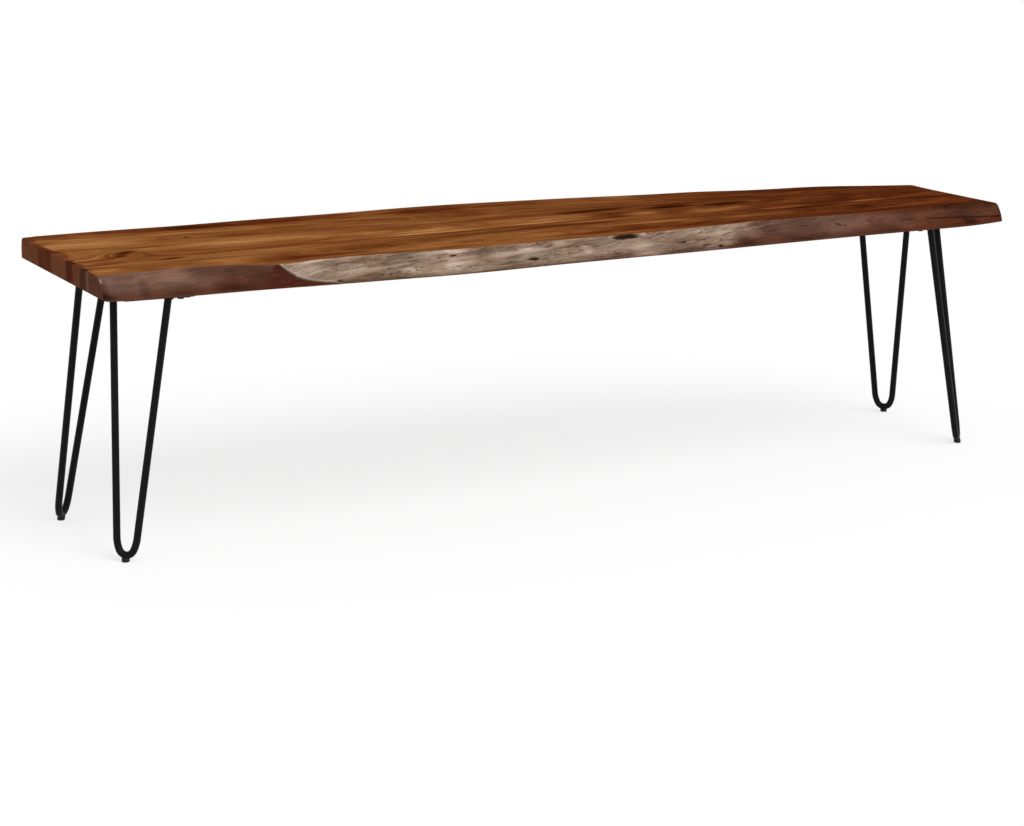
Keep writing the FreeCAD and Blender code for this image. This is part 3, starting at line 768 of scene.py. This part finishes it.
def planed_wood(start, x, y, z, heart, ring_width, seed, end_tint=END_TINT):
    """Colour, roughness and relief of one board as cut from a log whose heart lies under it.

    Ring number is the distance to the heart line over the ring width; the heart, given by y, z and their
    drift along x, is bent by slow noise. Tone is noise over ring number and x: streaks follow the rings."""
    sway = start.noise(x * 1.7 + seed, y * 5, z * 5, 2.0) - 0.5
    shiver = start.noise(x * 9 + seed, y * 40, z * 40, 2.0) - 0.5
    from_heart_y = y - heart[0] + x * heart[2] + sway * 0.050 + shiver * 0.0035
    from_heart_z = z - heart[1] + x * heart[3]
    rings = (from_heart_y * from_heart_y + from_heart_z * from_heart_z).root() * (1 / ring_width)
    rings = rings + start.attribute("swirl")
    bands = start.noise(rings * 0.8, x * 2.6 + seed, rings * 0, 5.0, 0.66)
    lines = start.noise(rings * 2.6, x * 8.5 + seed, rings * 0, 4.0, 0.62)
    fibre = start.noise(x * 26, y * 900, z * 900, 3.0, 0.6)
    pores = start.noise(x * 90, y * 1500, z * 1500, 2.0, 0.5)
    pore = pores.between(0.60, 0.72)
    end = start.attribute("end")
    tone = 0.47 + ((bands - 0.5) * 1.30 + (lines - 0.5) * 0.90) * (1 - end * 0.86) + (fibre - 0.5) * 0.24
    tone = tone + start.attribute("tone") * 0.75 - pore * 0.10
    colour = tone.ramp(*WOOD_STOPS)
    red = (start.attribute("red") + (lines - 0.5) * 0.8).between(0.0, 1.2)
    colour = (red * 0.75).blend(colour, colour.tinted(RED_TINT))
    colour = end.blend(colour, colour.tinted(end_tint))
    specks = start.noise(x * 700, y * 700, z * 700, 3.0, 0.7)
    roughness = 0.50 + (fibre - 0.5) * 0.20 + end * 0.14
    height = fibre * 0.35 - pore * 0.9 + lines * 0.4 + end * specks * 1.2
    return colour, roughness, height


# Natural edge: torn sapwood and brown skin from dark to light, with the tints that vary them
PALE_STOPS = (
    (0.00, (0.045, 0.024, 0.016)),
    (0.30, (0.140, 0.085, 0.058)),
    (0.55, (0.265, 0.180, 0.133)),
    (0.80, (0.390, 0.295, 0.235)),
    (1.00, (0.560, 0.465, 0.395)),
)
SKIN_STOPS = (
    (0.00, (0.030, 0.0110, 0.0060)),
    (0.40, (0.090, 0.0370, 0.0220)),
    (0.70, (0.150, 0.0720, 0.0470)),
    (1.00, (0.240, 0.1400, 0.1050)),
)
# Dark red of the hollow, darkened further as painted shade under the lip
HOLLOW_SHADE_STOPS = ((0.3, (0.040, 0.0100, 0.0060)), (0.7, (0.105, 0.0290, 0.0170)))
# Painted shade in the pits, specks, slot and crack
RECESS_SHADE_COLOUR = (0.020, 0.0095, 0.0060, 1)
# Pale wood of the lip and rims, also used as painted highlight on the rims and the near corner
RIM_AND_HIGHLIGHT_COLOUR = (0.600, 0.460, 0.370, 1)
# Painted shade with a redder brown, along the bottom of the natural edge
FOOT_SHADE_COLOUR = (0.105, 0.0400, 0.0230, 1)
FRONT_HEART = (-0.115, 0.360, -0.020, 0.020)
FRONT_RING_WIDTH = 0.0080
EDGE_BUMP = 0.0007


def front_wood(start, x, y, z):
    """The front board: planed top; on the natural edge brown skin, pale sapwood, pits in painted shade."""
    top = planed_wood(start, x, y, z, FRONT_HEART, FRONT_RING_WIDTH, 17.0, FRONT_END_TINT)
    top_colour, top_roughness, top_height = top
    level = start.attribute("height")
    climbed = level - x * FIBRE_CLIMB
    streak = start.noise(x * 26, climbed * 13, z * 0, 5.0, 0.65)
    grit = start.noise(x * 150, climbed * 60, z * 0, 3.0, 0.65)
    patch = start.noise(x * 9, level * 1.4, z * 0, 2.0)
    gather = start.noise(x * 16 + 5, level * 2.6, z * 0, 2.0).between(0.42, 0.62)
    strokes = start.noise(x * 62, climbed * 21, z * 0 + 3, 2.0).between(0.56, 0.66) * gather
    flecks = start.noise(x * 75, climbed * 24, z * 0 + 8, 2.0).between(0.58, 0.70)
    # Mottle, with the painted sheen of the upper skin at the wide end in it
    cloud = start.attribute("mottle")
    raised = start.attribute("raised")
    # Painted highlight: the raised ridges of the torn wood are painted lighter.
    pale_tone = 0.52 + (streak - 0.5) * 0.80 + (grit - 0.5) * 0.40 + (cloud - 0.5) * 0.50 + raised * 0.22
    # Painted shade: the pale tone darkens towards the bottom, where the edge faces down.
    pale_tone = pale_tone - strokes * 0.42 + flecks * 0.14 - (1 - level.between(0.0, 0.45)) * 0.18
    pale = pale_tone.ramp(*PALE_STOPS)
    pinker = pale.tinted((1.05, 0.97, 0.94, 1))
    pale = patch.between(0.35, 0.65).blend(pinker, pale.tinted((0.97, 1.00, 0.92, 1)))
    worn = x.between(0.15, 0.30)
    brown_tone = 0.50 + (streak - 0.5) * 0.60 + (grit - 0.5) * 0.35 + (cloud - 0.5) * 0.85
    brown_tone = brown_tone - strokes * (0.14 + worn * 0.18) + flecks * worn * 0.16
    brown_tone = brown_tone + 0.04 - x.between(0.45, 0.85) * 0.20
    # Painted shade: the brown darkens towards the bottom, where the edge faces down; lower down it is tinted
    # redder too.
    brown_tone = brown_tone - (1 - level.between(0.0, 0.65)) * (0.29 - x.between(0.6, 0.8) * 0.22)
    brown_tone = brown_tone - x.between(0.58, 0.82) * level.between(0.80, 1.0) * 0.22
    brown = brown_tone.ramp(*SKIN_STOPS)
    brown = level.between(0.0, 0.50).blend(brown.tinted((1.04, 0.83, 0.72, 1)), brown)
    brown = patch.between(0.4, 0.7).blend(brown, brown.tinted((1.05, 0.86, 0.74, 1)))
    brown = x.between(0.50, 0.76).blend(brown, brown.tinted((1.02, 0.84, 0.70, 1)))
    brown = start.attribute("warm").blend(brown, brown.tinted((1.25, 1.12, 0.88, 1)))
    edge = (start.attribute("pale") + (streak - 0.5) * 0.35).between(0.0, 0.90).blend(brown, pale)
    # Painted shade along the foot of the edge, in a redder brown
    foot = 1 - (level + (grit - 0.5) * 0.12 + (streak - 0.5) * 0.12).between(0.02, 0.17)
    edge = (foot * 0.8).blend(edge, FOOT_SHADE_COLOUR)
    # Hollow: dark red wood with painted shade, darkest under the lip
    hollow = start.attribute("hollow").between(0.05, 0.6)
    edge = hollow.blend(edge, streak.ramp(*HOLLOW_SHADE_STOPS))
    # The rim mark paints pale wood and painted highlights: the lip, the rims and the glint on the near
    # corner.
    edge = (start.attribute("rim") * (0.75 + (grit - 0.5) * 0.8)).blend(edge, RIM_AND_HIGHLIGHT_COLOUR)
    # Painted shade: the dark mark turns pits, specks, slot and crack towards the shade colour.
    deep = (start.attribute("dark") + (grit - 0.5) * 0.45).between(0.16, 0.95)
    edge = (deep * 0.95).blend(edge, RECESS_SHADE_COLOUR)
    face = (start.attribute("face") + (grit - 0.5) * 0.25 + (streak - 0.5) * 0.30).between(0.30, 0.70)
    end = start.attribute("end")
    face = face * (1 - end)
    colour = face.blend(top_colour, edge)
    roughness = top_roughness * (1 - face) + face * (0.46 + (streak - 0.5) * 0.25 + deep * 0.25)
    height = top_height * (1 - face) * 0.15 + face * (streak * 1.0 + grit * 0.5 - deep * 0.6)
    coat = face * (1 - deep) * (1 - hollow) * (0.22 - x.between(0.50, 0.80) * 0.16)
    coat = coat * (0.3 + level.between(0.1, 0.6) * 0.7)
    coat = coat * (1 - x.between(0.40, 0.70) * level.between(0.75, 0.95))
    coat = coat * (1 - x.between(-0.71, -0.64) * (1 - x.between(-0.60, -0.57)) * 0.85)
    return colour, roughness, height, EDGE_BUMP, coat


front_board.data.materials.append(finish_with("live_edge_wood", front_wood, 0.0))
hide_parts("front_board")
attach(front_board, "root")


# Middle board: a straight plank between the two glue lines, planed flush with its neighbours on both faces,
# its end grain showing at both ends.
MIDDLE_SPANS = ((0.12, 0.0025), (SEAT_LENGTH - CORNER_ROUNDS[0], 0.0050))
MIDDLE_POINTS = (10, 40)
MIDDLE_HEART = (0.010, 0.385, 0.020, 0.030)
MIDDLE_RING_WIDTH = 0.0085
PLANED_BUMP = 0.00012


def middle_board_surface():
    """Grid of the middle board: two flat glue faces, a planed top and an underside."""
    share, push, inset, turn, _, squash = stations(MIDDLE_SPANS)
    y, z = ring_of(glue_face(share, inset, FRONT_JOINT), glue_face(share, inset, REAR_JOINT), *MIDDLE_POINTS)
    y, z = flattened(y, z, squash)
    x = along_seat(share, push, y)
    return x, y, planed(x, y, z), top_marks(x, y, turn)


def middle_wood(start, x, y, z):
    """The middle board's wood."""
    return *planed_wood(start, x, y, z, MIDDLE_HEART, MIDDLE_RING_WIDTH, 3.0), PLANED_BUMP, 0.0


middle_board = skin("middle_board_wood", *middle_board_surface())
middle_board.data.materials.append(finish_with("middle_seat_wood", middle_wood, 0.0))
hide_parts("middle_board")
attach(middle_board, "root")


# Rear board: the back plank, sawn to follow the log's taper towards the narrow end, its rear side leaning in
# a little and eased along both arrises.
REAR_SPANS = ((0.12, 0.0025), (SEAT_LENGTH - CORNER_ROUNDS[0], 0.0045))
REAR_POINTS = (10, 12, 44)
REAR_TOP_ROUNDING = 0.002
REAR_HEART = (0.175, 0.370, 0.045, -0.025)
REAR_RING_WIDTH = 0.0100


def rear_board_surface():
    """Grid of the rear board: a glue face in front and a gently bulging side behind."""
    share, push, inset, turn, setback, squash = stations(REAR_SPANS)
    under, side_points, over = REAR_POINTS
    face_y, face_z, _ = natural_face(share, inset, setback, BACK_COLUMNS, 1, side_points, REAR_TOP_ROUNDING)
    y, z = ring_of(glue_face(share, inset, REAR_JOINT), (face_y, face_z), under, over)
    y, z = flattened(y, z, squash)
    x = along_seat(share, push, y)
    return x, y, planed(x, y, z), top_marks(x, y, turn)


def rear_wood(start, x, y, z):
    """The rear board's wood."""
    return *planed_wood(start, x, y, z, REAR_HEART, REAR_RING_WIDTH, 9.0), PLANED_BUMP, 0.0


rear_board = skin("rear_board_wood", *rear_board_surface())
rear_board.data.materials.append(finish_with("rear_seat_wood", rear_wood, 0.0))
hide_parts("rear_board")
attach(rear_board, "root")


# Hairpin legs and their plates: round steel bar bent at the foot and welded to a flat steel plate that
# is screwed under the seat. Both are powder coated satin black, and the coat has a faint orange-peel skin.
LEGS = ("front_left", "rear_left", "rear_right", "front_right")


def powder_coat(start, x, y, z):
    """Satin black coat: fine orange peel and slow clouds of sheen."""
    peel = start.noise(x * 900, y * 900, z * 900, 2.0, 0.5)
    cloud = start.noise(x * 30, y * 30, z * 30, 2.0, 0.5)
    colour = cloud.ramp((0.3, (0.0030, 0.0030, 0.0031)), (0.7, (0.0046, 0.0046, 0.0048)))
    return colour, 0.42 + (cloud - 0.5) * 0.16, peel, 0.00006, 0.0


black_coat = finish_with("black_powder_coat", powder_coat, 0.10)
for leg in LEGS:
    for kind in ("hairpin", "plate"):
        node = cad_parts[leg + "_" + kind]
        node.data.materials.clear()
        node.data.materials.append(black_coat)


# Stub feet: short plugs of matt black rubber fixed under each bend, cut flat where they stand on the floor
# and tilted with the leg.
def matt_rubber(start, x, y, z):
    """Matt black rubber with a fine grain, scuffed a little paler towards the floor."""
    grain = start.noise(x * 1400, y * 1400, z * 1400, 2.0, 0.6)
    scuff = (1 - z.between(0.0, 0.003)) * grain
    colour = scuff.blend((0.010, 0.010, 0.010, 1), (0.045, 0.043, 0.040, 1))
    return colour, 0.75 + (grain - 0.5) * 0.2, grain, 0.0001, 0.0


rubber = finish_with("foot_rubber", matt_rubber, 0.3)
for leg in LEGS:
    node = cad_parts[leg + "_foot"]
    node.data.materials.clear()
    node.data.materials.append(rubber)


# Screws: five pan-head wood screws with a cross recess to a plate, blackened steel, driven up into the seat.
# They are rubbed a little brighter in thin, scattered clouds.
def blackened(start, x, y, z):
    """Blackened steel: dark, with thin worn clouds."""
    wear = start.noise(x * 500, y * 500, z * 500, 3.0, 0.6)
    colour = wear.between(0.55, 0.75).blend((0.014, 0.014, 0.015, 1), (0.040, 0.039, 0.038, 1))
    return colour, 0.34 + (wear - 0.5) * 0.3, wear, 0.00005, 0.0


black_oxide = finish_with("blackened_screw", blackened, 0.5)
for leg in LEGS:
    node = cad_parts[leg + "_screws"]
    node.data.materials.clear()
    node.data.materials.append(black_oxide)


# Floor: a plain white sheet that runs out of sight and keeps the bench's shadow. What the camera sees of it
# glows a little, while it lights the bench as plain pale paper does.
FLOOR_HALF = 60.0
PAPER = (0.45, 0.45, 0.45, 1)
PAPER_SEEN = (0.32, 0.32, 0.32, 1)
PAPER_GLOW = 0.69


def seen_directly(start):
    """1 for what the camera sees, also through gloss and glass, and 0 for light that falls on things."""
    kinds = [start.node("LightPath", None, out=name) for name in
             ("Is Camera Ray", "Is Glossy Ray", "Is Transmission Ray")]
    return kinds[0].maths("MAXIMUM", kinds[0], kinds[1].maths("MAXIMUM", kinds[1], kinds[2]))


def white_floor():
    """Flat square; seen directly it is lit paper plus a little glow, so that it meets the white world."""
    mesh = bpy.data.meshes.new("floor")
    corners = [(-FLOOR_HALF, -FLOOR_HALF, 0), (FLOOR_HALF, -FLOOR_HALF, 0),
               (FLOOR_HALF, FLOOR_HALF, 0), (-FLOOR_HALF, FLOOR_HALF, 0)]
    mesh.from_pydata(corners, [], [(0, 1, 2, 3)])
    floor = bpy.data.objects.new("floor", mesh)
    bpy.context.scene.collection.objects.link(floor)
    material = bpy.data.materials.new("white_paper")
    material.use_nodes = True
    tree = material.node_tree
    shader = tree.nodes["Principled BSDF"]
    shader.inputs["Roughness"].default_value = 1.0
    shader.inputs["Specular IOR Level"].default_value = 0.0
    start = Wire(tree, None)
    seen = seen_directly(start)
    start.feed(shader.inputs["Base Color"], seen.blend(PAPER, PAPER_SEEN))
    start.feed(shader.inputs["Emission Strength"], seen * PAPER_GLOW)
    shader.inputs["Emission Color"].default_value = (1, 1, 1, 1)
    floor.data.materials.append(material)
    return floor


floor = white_floor()


# Studio: a white surround that lights the bench softly, and a wide, even light from above the front: the way
# towards its middle, its width in degrees and its power.
AMBIENT = 0.55
KEY_TOWARDS = (0.27, -0.59, 0.76)
KEY_SPREAD = 50
KEY_POWER = 1.86


def studio_world():
    """World that looks white and lights at a lower, even level."""
    world = bpy.data.worlds.new("studio")
    world.use_nodes = True
    tree = world.node_tree
    start = Wire(tree, None)
    strength = seen_directly(start) * (1.0 - AMBIENT) + AMBIENT
    background = tree.nodes["Background"]
    background.inputs["Color"].default_value = (1, 1, 1, 1)
    start.feed(background.inputs["Strength"], strength)
    bpy.context.scene.world = world


def soft_sun(name, towards, spread, power):
    """Even light from a wide round patch of sky."""
    lamp = bpy.data.lights.new(name, "SUN")
    lamp.angle = math.radians(spread)
    lamp.energy = power
    holder = bpy.data.objects.new(name, lamp)
    holder.rotation_euler = Vector(towards).to_track_quat("Z", "Y").to_euler()
    bpy.context.scene.collection.objects.link(holder)


studio_world()
soft_sun("key", KEY_TOWARDS, KEY_SPREAD, KEY_POWER)


# Camera: where the photograph was taken from, in metres and radians, with the lens in mm for a sensor 36 mm
# wide.
CAMERA_PLACE = (-2.16535, -3.72763, 1.20158)
CAMERA_YAW = 0.51502
CAMERA_PITCH = 0.24987
CAMERA_ROLL = 0.01636
LENS = 85.747


def photo_camera():
    """Camera from yaw, downward pitch and roll: its axes are built one from the other."""
    view = Vector((math.sin(CAMERA_YAW) * math.cos(CAMERA_PITCH),
                   math.cos(CAMERA_YAW) * math.cos(CAMERA_PITCH), -math.sin(CAMERA_PITCH)))
    level = Vector((math.cos(CAMERA_YAW), -math.sin(CAMERA_YAW), 0))
    above = level.cross(view)
    side = math.cos(CAMERA_ROLL) * level + math.sin(CAMERA_ROLL) * above
    up = math.cos(CAMERA_ROLL) * above - math.sin(CAMERA_ROLL) * level
    camera = bpy.data.cameras.new("camera")
    camera.lens = LENS
    camera.sensor_width = 36
    holder = bpy.data.objects.new("camera", camera)
    turn = Matrix((side, up, -view)).transposed().to_4x4()
    holder.matrix_world = Matrix.Translation(CAMERA_PLACE) @ turn
    bpy.context.scene.collection.objects.link(holder)
    bpy.context.scene.camera = holder


photo_camera()
bpy.context.scene.view_settings.view_transform = "Standard"
